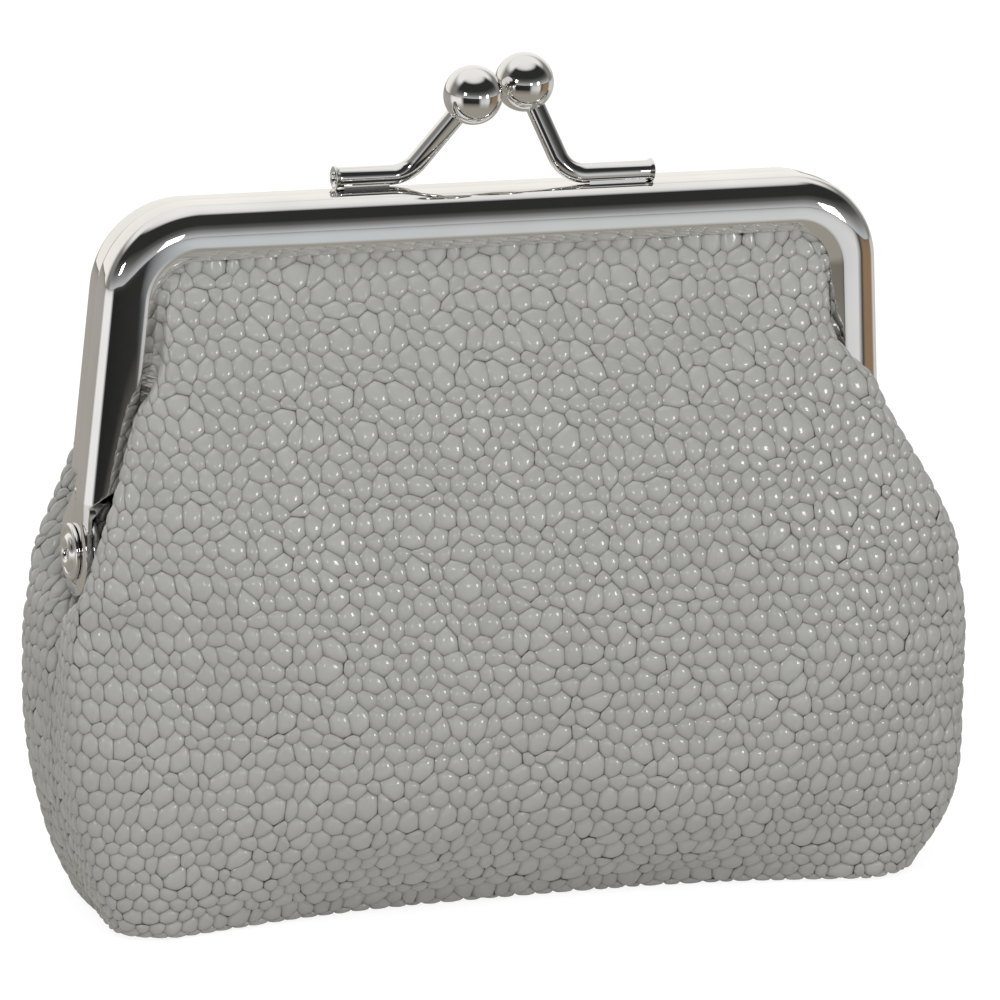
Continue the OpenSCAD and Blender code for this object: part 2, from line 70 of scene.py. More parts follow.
facing = Matrix((right, over, -forward)).transposed().to_4x4()
camera.matrix_world = Matrix.Translation(eye) @ facing
scene.camera = camera
scene.view_settings.view_transform = "Standard"

# ---------------------------------------------------------------- shader maths
# One class wraps a socket, so that maths on surfaces reads as plain expressions, and one of its
# methods adds any other node.


class Socket:
    """A value or colour on its way through one tree of nodes."""

    def __init__(self, tree, socket=None):
        self.tree, self.socket = tree, socket

    def node(self, kind, settings=None, output=0, **inputs):
        """Adds a node: its settings first, then its inputs by name, or by number as i0, i1."""
        made = self.tree.nodes.new("ShaderNode" + kind)
        for name, value in (settings or {}).items():
            if name == "stops":
                ramp = made.color_ramp
                while len(ramp.elements) < len(value):
                    ramp.elements.new(0.5)
                for stop, (place, shade) in zip(ramp.elements, value):
                    stop.position = place
                    stop.color = (*shade, 1) if isinstance(shade, tuple) else (shade, shade, shade, 1)
            else:
                setattr(made, name, value)
        for name, value in inputs.items():
            key = int(name[1:]) if name[0] == "i" and name[1:].isdigit() else name.replace("_", " ")
            self.feed(made.inputs[key], value)
        return Socket(self.tree, made.outputs[output] if made.outputs else None)

    def feed(self, target, value):
        """Links a socket to a node's input, or sets the input's value, a colour as (r, g, b)."""
        if isinstance(value, Socket):
            self.tree.links.new(value.socket, target)
        elif isinstance(value, tuple) and len(value) == 3:
            target.default_value = (*value, 1)
        else:
            target.default_value = value

    def beside(self, output):
        """Another output of the node that this one comes from."""
        return Socket(self.tree, self.socket.node.outputs[output])

    def maths(self, how, other):
        return self.node("Math", {"operation": how}, i0=self, i1=other)

    def __add__(self, other):
        return self.maths("ADD", other)

    def __mul__(self, other):
        return self.maths("MULTIPLY", other)

    def __sub__(self, other):
        return self.maths("SUBTRACT", other)

    def __rsub__(self, other):
        return self * -1.0 + other

    def __pow__(self, other):
        return self.maths("POWER", other)

    __radd__ = __add__
    __rmul__ = __mul__

    def clamp(self):
        return self.maths("MINIMUM", 1.0).maths("MAXIMUM", 0.0)

    def step(self, low, high):
        """0 at low, 1 at high, and even between them."""
        return ((self - low) * (1 / (high - low))).clamp()

    def mix(self, low, high):
        """Colour low where this is 0, and high where it is 1."""
        return self.node("Mix", {"data_type": "RGBA"}, 2, Factor=self, i6=low, i7=high)


def surface(name, build, **fixed):
    """A new material: fixed values go straight on the shader's sockets, and build adds its nodes."""
    made = bpy.data.materials.new(name)
    made.use_nodes = True
    tree = made.node_tree
    shader = tree.nodes["Principled BSDF"]
    for key, value in fixed.items():
        shader.inputs[key.replace("_", " ")].default_value = value
    place = Socket(tree).node("TexCoord", output="Object")
    for key, value in build(place).items():
        place.feed(shader.inputs[key.replace("_", " ")], value)
    return made


# ---------------------------------------------------------------- studio
# A white sweep under and behind the purse, one large overhead lamp and three small ones in front.
# The camera sees it white. What the polished metal sees is painted: a pale, dark and brown room.
PAPER_GLOW, PAPER_SHARE = 1.12, 0.80
ROOM_LIGHT = (0.50, 0.50, 0.50)
# Tones of the painted reflection that the metal sees in the floor.
REFLECTION_BEIGE, REFLECTION_BLUE = (0.42, 0.40, 0.37), (0.60, 0.63, 0.65)
REFLECTION_BROWN, FAR_OFF, CLOSE_BY = (0.30, 0.20, 0.12), (0.10, 0.10, 0.105), (0.36, 0.335, 0.29)
bpy.ops.object.select_all(action="DESELECT")
bpy.ops.mesh.primitive_plane_add(size=6, location=(0, 0, -0.0002))
floor = bpy.context.object
floor.name = "studio_floor"
paper = bpy.data.materials.new("studio_paper")
paper.use_nodes = True
paper.node_tree.nodes.clear()
fresh = Socket(paper.node_tree)
matt = fresh.node("BsdfDiffuse", Color=(0.93, 0.93, 0.93))
lit = fresh.node("MixShader", i0=PAPER_SHARE, i1=matt, i2=fresh.node("Emission", Strength=PAPER_GLOW))
# What the metal mirrors of the floor is a painted reflection, whose tone turns with the direction from
# the purse and is beige close to it: 0 and 1 are behind the purse, 0.25 to its left, 0.5 in front, 0.75 right.
floor_spot = fresh.node("SeparateXYZ", Vector=fresh.node("TexCoord", output="Object"))
across, along = floor_spot.beside("X"), floor_spot.beside("Y")
bearing = across.maths("ARCTAN2", along * -1.0) * (1 / math.tau) + 0.5
reflection_tone = bearing.node("ValToRGB", {"stops": [
    (0.0, REFLECTION_BEIGE), (0.17, REFLECTION_BEIGE), (0.20, 0.95), (0.31, 0.95), (0.345, 0.02), (0.505, 0.03), (0.535, REFLECTION_BLUE),
    (0.62, 0.8), (0.645, 0.05), (0.665, REFLECTION_BROWN), (0.74, REFLECTION_BROWN), (0.77, 0.7), (1.0, REFLECTION_BEIGE),
]}, i0=bearing)
distance = (across * across + along * along) ** 0.5
reflected_floor = distance.step(0.10, 0.24).mix(CLOSE_BY, reflection_tone)
mirrored = fresh.node("Emission", Color=distance.step(4.0, 0.5).mix(FAR_OFF, reflected_floor))
ray = fresh.node("LightPath")
unmirrored = fresh.node("MixShader", i0=ray.beside("Is Diffuse Ray"), i1=lit, i2=matt)
paper_look = fresh.node("MixShader", i0=ray.beside("Is Glossy Ray"), i1=unmirrored, i2=mirrored)
fresh.node("OutputMaterial", Surface=paper_look)
floor.data.materials.append(paper)

world = bpy.data.worlds.new("studio")
scene.world = world
world.use_nodes = True
world.node_tree.nodes.clear()
fresh = Socket(world.node_tree)
# Glossy rays see a painted reflection: a room dark in front, pale overhead and behind. Other rays see plain
# light.
heading = fresh.node("SeparateXYZ", Vector=fresh.node("TexCoord", output="Generated"))
ahead, height = heading.beside("Y"), heading.beside("Z")
before = height.node("ValToRGB", {"stops": [
    (0.0, (0.50, 0.52, 0.54)), (0.10, 0.30), (0.24, 0.11), (0.42, 0.03), (0.80, 0.03), (0.90, 0.80),
    (1.0, 0.95),
]}, i0=height)
behind = height.node("ValToRGB", {"stops": [
    (0.0, (1.0, 0.97, 0.92)), (0.55, (0.98, 0.96, 0.93)), (1.0, 0.95),
]}, i0=height)
bright = ahead.step(0.45, 0.75).maths("MAXIMUM", height.step(0.50, 0.72)) * 0.75 + 0.25
room = ahead.step(-0.12, 0.12).mix(before, bright.mix((0, 0, 0), behind))
ray = fresh.node("LightPath")
unseen = fresh.node(
    "MixShader", i0=ray.beside("Is Glossy Ray"),
    i1=fresh.node("Background", Color=ROOM_LIGHT), i2=fresh.node("Background", Color=room))
white = fresh.node("Background", Color=(1, 1, 1))
fresh.node("OutputWorld", Surface=fresh.node("MixShader", i0=ray.beside("Is Camera Ray"), i1=unseen, i2=white))


def lamp(name, place, aim, size, power):
    """A rectangular lamp at a place in metres, turned to its aim, with its power in watts."""
    light = bpy.data.lights.new(name, "AREA")
    light.shape = "RECTANGLE"
    light.size, light.size_y = size
    light.energy = power
    made = bpy.data.objects.new(name, light)
    scene.collection.objects.link(made)
    made.location = place
    made.rotation_euler = (Vector(aim) - Vector(place)).to_track_quat("-Z", "Y").to_euler()
    return made


# The metal doesn't mirror the overhead lamp, whose outline would cut across its face.
overhead = lamp("overhead", (-0.15, -0.45, 0.85), (0, 0, 0.03), (0.9, 0.6), 6.8)
overhead.visible_glossy = False
lamp("front_left", (-0.76, -0.62, 0.30), (0, 0, 0.04), (0.15, 0.15), 0.75)
lamp("front_middle", (0.12, -0.99, 0.13), (0, 0, 0.04), (0.12, 0.12), 0.26)
lamp("front_right", (0.59, -0.80, 0.14), (0, 0, 0.04), (0.15, 0.15), 0.95)

# ---------------------------------------------------------------- nickel
# The finish of all bare metal: sheet brass, polished and plated with bright nickel. A faint haze
# and smears from handling keep it from being a perfect mirror.


def nickel_finish(at):
    haze = at.node("TexNoise", Vector=at, Scale=900.0, Detail=3.0)
    smear = at.node("TexNoise", Vector=at, Scale=120.0, Detail=2.0)
    return {
        "Base_Color": smear.step(0.3, 0.8).mix((0.80, 0.79, 0.77), (0.86, 0.855, 0.84)),
        "Roughness": haze.step(0.35, 0.9) * 0.05 + smear.step(0.4, 0.9) * 0.04 + 0.02,
    }


nickel = surface("bright_nickel", nickel_finish, Metallic=1.0)

# ---------------------------------------------------------------- frame halves
# Each half is one strip of sheet brass, rolled to a channel that grips the leather, bent to an
# arch with two corners, and flattened at both ends into the round ears that the rivets join.
# Its numbers are in millimetres, across from the frame's middle and up from the floor.
FRAME_X = -3.6
HALF_W, HINGE_Z, TOP_Z, DEEP = 42.8, 38.2, 73.7, 4.6
BEND_Z, CORNER_R, LEAN = 44.0, 9.5, math.radians(4.5)
SHEET, BAND, LIP, LIP_DROP = 0.8, 5.4, 1.15, 0.6
CORNER_Z = TOP_Z - CORNER_R
ARM_LEN = (CORNER_Z + CORNER_R * math.sin(LEAN) - BEND_Z) / math.cos(LEAN)
CORNER_X = HALF_W - CORNER_R * math.cos(LEAN) - ARM_LEN * math.sin(LEAN)
REAR_STEP, REAR_EAR_IN = 0.3, 0.85
EAR_R, EAR_POINT, HOLE_R = 4.5, 6.7, 1.3
# Below TAPER_Z, the band is scooped out to a round edge, the sheet steps in to the ear, and the
# channel's open side closes.
TAPER_Z, SCOOP_Z, SCOOP_R, SCOOP_IN = 47.6, 37.6, 9.15, 8.6
STEP_Z, STEP_RUN, CLOSE_Z, CLOSE_RUN = 46.2, 0.9, 45.4, 1.8
# How the strip is drawn out: steps along the top, round the corner, down the arm and past the ear,
# the last two in fine steps where the band tapers.
TOP_STEPS, CORNER_STEPS, ARM_SHARES, EAR_STEPS, EAR_STEP = 8, 28, [0.14] * 6 + [0.01] * 16, 29, 0.2


def put(made):
    """Moves a mesh's points by the frame's place, from millimetres to metres."""
    made.data.transform(Matrix.Scale(MM, 4) @ Matrix.Translation((FRAME_X, 0, 0)))


def select_only(made):
    bpy.ops.object.select_all(action="DESELECT")
    made.select_set(True)
    bpy.context.view_layer.objects.active = made


def finish_mesh(made, name, angle):
    select_only(made)
    bpy.ops.object.shade_smooth_by_angle(angle=math.radians(angle))
    made.name = made.data.name = name
    made.data.validate()


def in_edit(made, work):
    """Does one piece of work on a whole mesh in edit mode."""
    select_only(made)
    bpy.ops.object.mode_set(mode="EDIT")
    bpy.ops.mesh.select_all(action="SELECT")
    work()
    bpy.ops.object.mode_set(mode="OBJECT")


def face_outwards():
    bpy.ops.mesh.select_all(action="SELECT")
    bpy.ops.mesh.normals_make_consistent(inside=False)


def use_modifier(made, kind, **settings):
    select_only(made)
    added = made.modifiers.new(kind.lower(), kind)
    for key, value in settings.items():
        setattr(added, key, value)
    bpy.ops.object.modifier_apply(modifier=added.name)


def round_points(cx, cy, r, start, stop, steps):
    """Points on an arc round (cx, cy), from one angle to another in degrees."""
    angles = [math.radians(start + (stop - start) * i / steps) for i in range(steps + 1)]
    return [(cx + r * math.cos(a), cy + r * math.sin(a)) for a in angles]


def channel_section():
    """The strip's section as (inwards from the edge, out from the meeting plane), once round."""
    rim, flank, slot = 0.5, 1.9, 3.95
    outer = [(slot, 0.05)] + round_points(rim, 0.05 + rim, rim, 270, 180, 5)
    outer += round_points(flank, DEEP - 0.62 - flank + 0.2, flank, 180, 118, 9)
    outer += [(1.35, DEEP - 0.44), (1.75, DEEP - 0.28), (2.2, DEEP - 0.16), (2.7, DEEP - 0.08)]
    outer += [(3.3, DEEP - 0.03), (3.8, DEEP - 0.01), (BAND - LIP - 0.12, DEEP)]
    lip = [(BAND - LIP, DEEP - 0.04), (BAND - LIP + 0.12, DEEP - 0.13)]
    lip += [(BAND - 0.12, DEEP - LIP_DROP - 0.02), (BAND, DEEP - LIP_DROP - 0.12)]
    lip += [(BAND - 0.05, DEEP - LIP_DROP - 0.25)]
    inner = [(BAND - LIP, DEEP - SHEET), (flank, DEEP - SHEET)]
    inner += round_points(flank, DEEP - flank, flank - SHEET, 100, 180, 4)[1:]
    inner += [(SHEET, 0.85), (slot, 0.85)]
    return outer, lip, inner


OUTER, LIP_LINE, INNER = channel_section()
SECTION = OUTER + LIP_LINE + INNER
KINDS = ["outer"] * len(OUTER) + ["lip"] * len(LIP_LINE) + ["inner"] * len(INNER)
CREASE = BAND - LIP - 0.12
FACE_IN = [p for p, q in OUTER[6:]] + [BAND]
FACE_OUT = [q for p, q in OUTER[6:]] + [DEEP - 0.13]


def share_of(value):
    """The value, held between 0 and 1."""
    return min(1, max(0, value))


def face_at(p):
    """How far out the channel's face stands, at a distance in from its edge."""
    return float(np.interp(p, FACE_IN, FACE_OUT))


def narrowed(n, z, step, ear_in):
    """A section point near the ear: the band runs out to the sheet's own thickness there."""
    p0, q0 = SECTION[n]
    fall = share_of((STEP_Z - z) / STEP_RUN)
    offset = step + (ear_in - step) * fall * fall * (3 - 2 * fall)
    width = BAND + step
    if z < SCOOP_Z + SCOOP_R:
        width = min(width, SCOOP_IN - math.sqrt(max(0, SCOOP_R ** 2 - (z - SCOOP_Z) ** 2)))
    width = max(width - offset, SHEET)
    limit = max(width - BAND + CREASE, 0.42)
    if n in (0, len(SECTION) - 1):
        # The two corners of the sheet's free edge, at the channel's open side.
        p1, q1 = min(SHEET + (p0 - SHEET) * share_of((z - CLOSE_Z) / CLOSE_RUN), width), q0
    elif KINDS[n] == "outer":
        p1 = min(p0, limit)
        q1 = q0 if p1 == p0 else face_at(p1)
    elif KINDS[n] == "lip":
        p1 = limit + (p0 - CREASE) * (width - limit) / (BAND - CREASE)
        q1 = face_at(p1) - (DEEP - 0.02 - q0) * min(1, max(0.3, (width - SHEET) / 1.2))
    else:
        p1 = min(p0, width - 0.04)
        q1 = min(q0, face_at(p1) - 0.45) if q0 > 1 else q0
    return HALF_W - max(0, z - BEND_Z) * math.tan(LEAN) - p1 - offset, q1


def ear_lobe(side, ear_in):
    """The flat ear: a disc round the hinge, drawn up to a point that hides in the arm."""
    bpy.ops.mesh.primitive_circle_add(vertices=96, radius=EAR_R, fill_type="NGON", rotation=(0, math.pi / 2, 0))
    lobe = bpy.context.object
    bpy.ops.object.transform_apply(location=False, rotation=True, scale=False)
    touch = math.acos(EAR_R / EAR_POINT)
    for v in lobe.data.vertices:
        away = math.atan2(-side * v.co.y, v.co.z)
        r = EAR_R / math.cos(abs(away) - touch) if abs(away) < touch else EAR_R
        v.co = (HALF_W - ear_in, r * math.sin(away) * -side, HINGE_Z + r * math.cos(away))

    def thicken():
        bpy.ops.mesh.extrude_region_move(TRANSFORM_OT_translate={"value": (-SHEET, 0, 0)})
        face_outwards()

    in_edit(lobe, thicken)
    use_modifier(lobe, "BEVEL", width=0.16, segments=3, limit_method="ANGLE", angle_limit=math.radians(50))
    return lobe


def frame_half(name, side, step, ear_in):
    """Builds the right side from the middle of the top down to the ear, then mirrors it."""
    bpy.ops.object.select_all(action="DESELECT")
    bpy.ops.mesh.primitive_circle_add(vertices=len(SECTION), radius=1)
    strip = bpy.context.object
    for v, (p, q) in zip(strip.data.vertices, SECTION):
        v.co = (0, side * q, TOP_Z - p - step)

    def sweep():
        for _ in range(TOP_STEPS):
            bpy.ops.mesh.extrude_region_move(TRANSFORM_OT_translate={"value": (CORNER_X / TOP_STEPS, 0, 0)})
        bpy.ops.mesh.spin(
            steps=CORNER_STEPS, angle=LEAN - math.pi / 2, center=(CORNER_X, 0, CORNER_Z), axis=(0, 1, 0))
        down = Vector((math.sin(LEAN), 0, -math.cos(LEAN))) * ARM_LEN
        for share in ARM_SHARES:
            bpy.ops.mesh.extrude_region_move(TRANSFORM_OT_translate={"value": down * share})
        bpy.ops.transform.rotate(value=-LEAN, orient_axis="Y", center_override=(HALF_W, 0, BEND_Z))
        for _ in range(EAR_STEPS):
            bpy.ops.mesh.extrude_region_move(TRANSFORM_OT_translate={"value": (0, 0, -EAR_STEP)})
        bpy.ops.mesh.edge_face_add()

    in_edit(strip, sweep)
    for n, v in enumerate(strip.data.vertices):
        z = v.co.z
        if z <= TAPER_Z:
            x, q = narrowed(n % len(SECTION), z, step, ear_in)
            v.co = (x, side * q, z)
    lobe = ear_lobe(side, ear_in)
    in_edit(strip, face_outwards)
    use_modifier(strip, "BOOLEAN", operation="UNION", solver="EXACT", object=lobe)
    bpy.data.objects.remove(lobe)
    bpy.ops.mesh.primitive_cylinder_add(
        vertices=48, radius=HOLE_R, depth=6, location=(HALF_W, 0, HINGE_Z), rotation=(0, math.pi / 2, 0))
    drill = bpy.context.object
    use_modifier(strip, "BOOLEAN", operation="DIFFERENCE", solver="EXACT", object=drill)
    bpy.data.objects.remove(drill)
    use_modifier(strip, "MIRROR", use_axis=(True, False, False), use_clip=False, merge_threshold=0.001)
    put(strip)
    finish_mesh(strip, name, 30)
    strip.data.materials.append(nickel)
    return strip


front = frame_half("front_frame_shell", -1, 0.0, 0.0)
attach(front, "front_half")
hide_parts("front_frame")
rear = frame_half("rear_frame_shell", 1, REAR_STEP, REAR_EAR_IN)
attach(rear, "rear_half")
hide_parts("rear_frame")

# ---------------------------------------------------------------- hinge rivets and washers
# Two tubular rivets, turned from brass and nickel-plated, join the ears of the two halves, with a
# rolled head outside and, inside, a spread end over a washer. The washer keeps the CAD's shape.
# The rivet is spun from its section, as (from the axis, out from the ear).
RIVET = [
    (0.68, -2.70), (1.75, -2.70), (1.9, -2.55), (1.9, -2.25), (1.25, -2.25), (1.25, 0.04), (2.72, 0.04),
    (2.86, 0.1), (2.92, 0.22), (2.9, 0.36), (2.8, 0.48), (2.62, 0.54), (2.4, 0.52), (2.22, 0.42), (2.05, 0.37),
    (1.88, 0.42), (1.74, 0.6), (1.58, 0.76), (1.38, 0.85), (1.18, 0.87), (0.98, 0.81), (0.82, 0.66),
    (0.74, 0.45), (0.7, 0.1),
]
WELD = 1e-6


def welded(node, name, material, body, angle=30):
    """A copy of a CAD piece with its loose triangles joined, smoothed and given its finish."""
    made = bpy.data.objects[node].copy()
    made.data = bpy.data.objects[node].data.copy()
    scene.collection.objects.link(made)
    made.data.materials.clear()
    in_edit(made, lambda: bpy.ops.mesh.remove_doubles(threshold=WELD))
    finish_mesh(made, name, angle)
    made.data.materials.append(material)
    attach(made, body)
    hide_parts(node)


def spun_rivet():
    bpy.ops.mesh.spin(steps=72, angle=math.tau, center=(0, 0, HINGE_Z), axis=(1, 0, 0))
    bpy.ops.mesh.select_all(action="SELECT")
    bpy.ops.mesh.remove_doubles(threshold=0.001)
    face_outwards()


for side, sign in (("left", -1), ("right", 1)):
    bpy.ops.mesh.primitive_circle_add(vertices=len(RIVET), radius=1)
    rivet = bpy.context.object
    for v, (r, out) in zip(rivet.data.vertices, RIVET):
        v.co = (sign * (HALF_W + out), 0, HINGE_Z + r)
    in_edit(rivet, spun_rivet)
    put(rivet)
    finish_mesh(rivet, "rivet_" + side, 40)
    rivet.data.materials.append(nickel)
    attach(rivet, "rear_half")
    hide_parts("hinge_rivet_" + side)
    welded("hinge_washer_" + side, "washer_" + side, nickel, "rear_half")

# ---------------------------------------------------------------- clasp
# Each half carries a rolled tube with a flared open end, soldered to its top in a bead and bent up
# to a ball. The two balls cross, and snap past each other. Tube and ball are nickel-plated brass.
BALL_R, TUBE_R, BORE_R, BEND_R = 2.975, 1.0, 0.66, 3.0
CLASP_X, BALL_APART, BALL_CROSS, TUBE_REACH, BORE_DEEP = 0.55, 3.15, 1.2, 16.2, 4
SOLDER_UNDER, TUBE_IN_BALL = 0.06, 1
# The open end's bore, rolled rim and outside, each as (beyond the end, radius).
FLARE = [
    (-0.3, BORE_R), (-0.1, 0.78), (0, 0.95), (0.02, 1.08), (-0.06, 1.2), (-0.16, 1.18), (-0.3, 1.06),
    (-0.55, TUBE_R),
]


def clasp(half, sign, rise, ball_up, foot_y, top):
    """One half's tube and ball: rise is the tube's slope in degrees, foot_y the place of its foot."""
    rise = math.radians(rise)
    ball = Vector((CLASP_X + sign * BALL_APART, sign * BALL_CROSS, TOP_Z + ball_up))
    foot_z = top + TUBE_R + SOLDER_UNDER
    tilt = math.atan2(ball.y - foot_y, ball.z - foot_z)
    climb = math.hypot(ball.y - foot_y, ball.z - foot_z)
    straight = (climb - BEND_R * (1 - math.cos(rise))) / math.sin(rise)
    bend_out = BEND_R * math.sin(rise) + straight * math.cos(rise)
    end = TUBE_REACH - BALL_APART - bend_out

    bpy.ops.mesh.primitive_circle_add(vertices=40, radius=BORE_R, rotation=(0, math.pi / 2, 0))
    tube = bpy.context.object
    bpy.ops.object.transform_apply(location=False, rotation=True, scale=False)
    tube.data.transform(Matrix.Translation((end - BORE_DEEP, 0, 0)))

    def drawn():
        at, r = end - BORE_DEEP, BORE_R
        for x, wide in [(end + along, wide) for along, wide in FLARE] + [(0, TUBE_R)]:
            bpy.ops.mesh.extrude_region_move(TRANSFORM_OT_translate={"value": (x - at, 0, 0)})
            bpy.ops.transform.resize(value=(1, wide / r, wide / r), center_override=(x, 0, 0))
            at, r = x, wide
        bpy.ops.mesh.spin(steps=20, angle=-rise, center=(0, 0, BEND_R), axis=(0, 1, 0))
        run = straight - BALL_R + TUBE_IN_BALL
        slope = (-math.cos(rise) * run, 0, math.sin(rise) * run)
        bpy.ops.mesh.extrude_region_move(TRANSFORM_OT_translate={"value": slope})
        face_outwards()

    in_edit(tube, drawn)
    place = Matrix.Translation((ball.x + sign * bend_out, foot_y, foot_z))
    if sign < 0:
        place = place @ Matrix.Diagonal((-1, 1, 1, 1))
    tube.data.transform(place @ Matrix.Rotation(-tilt, 4, "X"))
    if sign < 0:
        in_edit(tube, face_outwards)
    bpy.ops.mesh.primitive_uv_sphere_add(segments=96, ring_count=48, radius=BALL_R)
    knob = bpy.context.object
    knob.data.transform(Matrix.Translation(ball))
    for made, name, node in ((tube, half + "_stem", "_clasp_stem"), (knob, half + "_ball", "_clasp_ball")):
        put(made)
        finish_mesh(made, name, 50)
        made.data.materials.append(nickel)
        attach(made, half + "_half")
        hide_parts(half + node)
    welded(half + "_clasp_solder", half + "_bead", nickel, half + "_half")


clasp("front", 1, rise=68, ball_up=10.05, foot_y=-1.5, top=TOP_Z)
clasp("rear", -1, rise=61, ball_up=9.5, foot_y=2.7, top=TOP_Z - REAR_STEP)

# ---------------------------------------------------------------- pouch shape
# The pouch is two leather panels, sewn along their sides and base and tucked into the channels. It
# is narrow at the mouth, widest at BELLY_Z and deepest at DEEP_Z, and leans to the right below.
BELLY_Z, DEEP_Z, MOUTH_Z = 26.0, 18.0, 67.7
WIDEST, FOOT_IN, FOOT_HALF, MOUTH_HALF = 48.7, 5.7, 45, 36.3
DEEPEST, FOOT_SHALLOWER, GROOVE = 14, 2.6, 3.75
FOOT_R, IN_CHANNEL, MOUTH_IN = 1.2, 1.3, 6.0
# Beside the ears, from BELOW_EAR to ABOVE_EAR over the hinge, the sheets pass inside the ears at
# END_X. Below, they meet in a sewn seam. HIDDEN is how many columns of a sheet lie tucked away.
BELOW_EAR, ABOVE_EAR, END_X, EAR_Y = -5, 7.9, 38.8, 4.9
SEAM_X, SEAM_Y, SEAM_RUN, HIDDEN = 42.0, 0.03, 9, 4


def arch_half(z, inset):
    """Half the frame's arch at a height, measured to a line that lies inset within its edge."""
    r = CORNER_R - inset
    if z > CORNER_Z + r * math.sin(LEAN):
        return CORNER_X + math.sqrt(max(0, r * r - (z - CORNER_Z) ** 2))
    return HALF_W - max(0, z - BEND_Z) * math.tan(LEAN) - inset / (math.cos(LEAN) if z > BEND_Z else 1)


def lean_at(z):
    """How far the pouch leans to the right of the frame, to stand with its middle at zero."""
    return -FRAME_X * share_of((MOUTH_Z - 4 - z) / (MOUTH_Z - 4 - BELLY_Z))


def width_at(z):
    if z < BELLY_Z:
        return WIDEST - FOOT_IN * (1 - z / BELLY_Z) ** 3.5
    climbed = min(1, (z - BELLY_Z) / (MOUTH_Z - BELLY_Z))
    return WIDEST - (WIDEST - MOUTH_HALF) * (1 - math.cos(math.pi * climbed)) / 2


def depth_at(z):
    if z < DEEP_Z:
        return DEEPEST - FOOT_SHALLOWER * (1 - z / DEEP_Z) ** 2
    return DEEPEST - (DEEPEST - GROOVE) * ((z - DEEP_Z) / (MOUTH_Z - DEEP_Z)) ** 2.2


def read_off(h, pairs):
    """A value read off between pairs of (height over the hinge, value)."""
    return float(np.interp(h, [a for a, b in pairs], [b for a, b in pairs]))


def side_path(z, side, t, fine):
    """One side of a sheet's plan at height z: the points tucked away, then the fine outer curve."""
    h = z - HINGE_Z
    puff = share_of((MOUTH_Z - 9.5 - z) / 4)
    turn = math.radians(read_off(h, [
        (BELOW_EAR, 180), (-3.8, 135), (-1, 90), (4, 60), (6.3, 20), (ABOVE_EAR, 0),
    ]))
    lean_x = side * lean_at(z)
    half_w = width_at(z) + lean_x
    if h > ABOVE_EAR:
        mouth = arch_half(z, MOUTH_IN)
        y0 = GROOVE + max(0.1 * (depth_at(z) - GROOVE), (EAR_Y - GROOVE) * min(1, 6 * puff))
    else:
        seam = min(1, (BELOW_EAR - h) / SEAM_RUN)
        mouth = read_off(h, [
            (BELOW_EAR, SEAM_X), (-3.8, END_X), (4, END_X), (5.1, END_X - 0.4), (6.3, END_X - 1.0),
            (ABOVE_EAR, arch_half(HINGE_Z + ABOVE_EAR, MOUTH_IN)),
        ])
        if seam > 0:
            mouth = SEAM_X * (1 - seam) + (half_w - 0.4) * seam
        y0 = read_off(h, [(BELOW_EAR, SEAM_Y), (-3.8, 2.9), (-2.25, 4.5), (0, EAR_Y)])
    if h > 9.0:
        edge = arch_half(z, IN_CHANNEL)
    elif h < BELOW_EAR:
        edge = mouth - 2
    else:
        edge = read_off(h, [
            (BELOW_EAR, SEAM_X - 2), (-3.8, END_X - 1.1), (4, END_X - 0.9), (5.1, END_X - 0.4),
            (6.3, END_X + 0.5), (9.0, arch_half(46.8, 1.7)),
        ])
    edge_y = read_off(h, [(BELOW_EAR, SEAM_Y), (-3.8, 1.8), (0, GROOVE)])
    hem_y = read_off(h, [(BELOW_EAR, SEAM_Y), (-3.8, 2.4), (0, 4.25), (4, 4.25), (6.3, GROOVE)])
    full = max(mouth, mouth + (half_w - mouth) * puff) - t
    back = 1 if turn < math.pi / 2 else math.sin(turn)
    x0 = min(mouth - back * t, full)
    y0 += (2 * puff - 1) * t
    depth = depth_at(z) - t
    tip = y0 + 0.42 * (depth - y0)
    edge_point = (edge - math.sin(turn) * t, edge_y - math.cos(turn) * t)
    hem_point = (x0 - read_off(h, [(4, 0.3), (6.3, 0)]), hem_y - math.cos(turn) * t)
    a = np.radians(np.linspace(90, 0, fine // 4))
    side_run = np.stack([x0 + (full - x0) * np.cos(a), tip - (tip - y0) * np.sin(a)], 1)
    # The front is a flattened oval, squarer towards the base, where its corners are drawn in.
    squareness = 2 / (4 - min(1, z / 16))
    waist = 6 * max(0, 1 - z / 16) ** 2
    q = np.radians(90 * np.linspace(0, 1, fine) ** 1.35)[1:]
    across = np.cos(q) ** squareness
    drawn = waist * np.maximum(0, 1 - (1.13 * across) ** 3)
    outwards = tip + (depth - drawn - tip) * np.sin(q) ** squareness
    front_run = np.stack([lean_x + (full - lean_x) * across, outwards], 1)
    return [edge_point, hem_point, (x0, y0)], np.concatenate([side_run, front_run])


def spaced(points, count):
    """The same line as count points at equal steps along it."""
    points = np.asarray(points, float)
    run = np.concatenate([[0], np.cumsum(np.linalg.norm(np.diff(points, axis=0), axis=1))])
    at = np.linspace(0, run[-1], count)
    return np.stack([np.interp(at, run, points[:, k]) for k in range(2)], 1)


def plan_row(z, t, half_cols):
    """One row of a panel, right edge to left edge, as (x, y forwards positive)."""
    sides = []
    for side in (1, -1):
        if z > MOUTH_Z - 0.1:
            outer = arch_half(z, IN_CHANNEL)
            mouth = min(arch_half(MOUTH_Z - 0.1, MOUTH_IN), outer)
            tucked = [(outer, GROOVE - t), (mouth, GROOVE - t)]
            curve = [(mouth, GROOVE - t), (0, GROOVE - t)]
        else:
            tucked, curve = side_path(z, side, t, 240)
        sides.append(np.concatenate([spaced(tucked, HIDDEN + 1)[:-1], spaced(curve, half_cols + 1)]))
    left = sides[1] * (-1, 1)
    return np.concatenate([sides[0], left[::-1][1:]])


def smooth_rows(rows, times):
    for _ in range(times):
        rows[1:-1] = (rows[:-2] + 2 * rows[1:-1] + rows[2:]) / 4
    return rows


